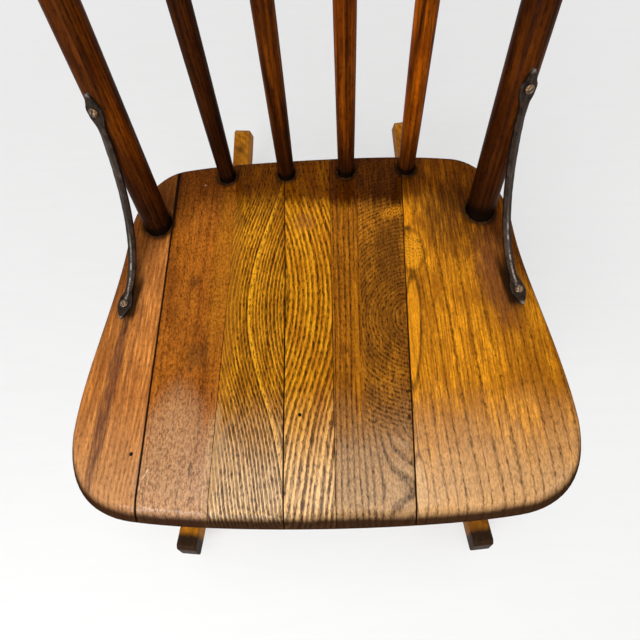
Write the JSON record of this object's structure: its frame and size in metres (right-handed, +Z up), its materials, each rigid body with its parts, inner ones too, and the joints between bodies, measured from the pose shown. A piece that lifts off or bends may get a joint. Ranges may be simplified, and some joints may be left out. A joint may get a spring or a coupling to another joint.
{
  "type": "rocking chair",
  "caption": "Armless wooden rocking chair with a saddled plank seat, raked spindle back with a shaped crest rail, iron post braces, turned legs and curved rockers.",
  "frame": {"origin": "on the floor, under the middle of the chair's bounding box", "axes": "+Z up, +Y to the back of the chair, +X to the right as seen from in front"},
  "size_m": [0.451, 0.713, 0.876],
  "materials": {
    "seat_wood": "worn amber varnish over coarse open grain",
    "turned_wood": "dark red-brown satin varnish",
    "rocker_wood": "golden-brown satin varnish",
    "peg_wood": "plain wood",
    "iron": "dark forged iron, worn bright on its edges",
    "screw_brass": "dull tarnished brass"
  },
  "bodies": {
    "root": {"back_post_left": "turned_wood", "back_post_right": "turned_wood", "brace_left": "iron", "brace_right": "iron", "brace_screw_left_post": "screw_brass", "brace_screw_left_seat": "screw_brass", "brace_screw_right_post": "screw_brass", "brace_screw_right_seat": "screw_brass", "crest_pin_left": "peg_wood", "crest_pin_right": "peg_wood", "crest_rail": "turned_wood", "front_leg_left": "turned_wood", "front_leg_left_peg": "peg_wood", "front_leg_right": "turned_wood", "front_leg_right_peg": "peg_wood", "front_stretcher_lower": "turned_wood", "front_stretcher_upper": "turned_wood", "rear_leg_left": "turned_wood", "rear_leg_left_peg": "peg_wood", "rear_leg_right": "turned_wood", "rear_leg_right_peg": "peg_wood", "rear_stretcher": "turned_wood", "rocker_left": "rocker_wood", "rocker_right": "rocker_wood", "seat_board_1": "seat_wood", "seat_board_2": "seat_wood", "seat_board_3": "seat_wood", "seat_board_4": "seat_wood", "seat_board_5": "seat_wood", "seat_board_6": "seat_wood", "seat_dowel_1_front": "peg_wood", "seat_dowel_1_rear": "peg_wood", "seat_dowel_2_front": "peg_wood", "seat_dowel_2_rear": "peg_wood", "seat_dowel_3_front": "peg_wood", "seat_dowel_3_rear": "peg_wood", "seat_dowel_4_front": "peg_wood", "seat_dowel_4_rear": "peg_wood", "seat_dowel_5_front": "peg_wood", "seat_dowel_5_rear": "peg_wood", "side_stretcher_left_lower": "turned_wood", "side_stretcher_left_upper": "turned_wood", "side_stretcher_right_lower": "turned_wood", "side_stretcher_right_upper": "turned_wood", "spindle_1": "turned_wood", "spindle_2": "turned_wood", "spindle_3": "turned_wood", "spindle_4": "turned_wood"}
  },
  "joints": []
}
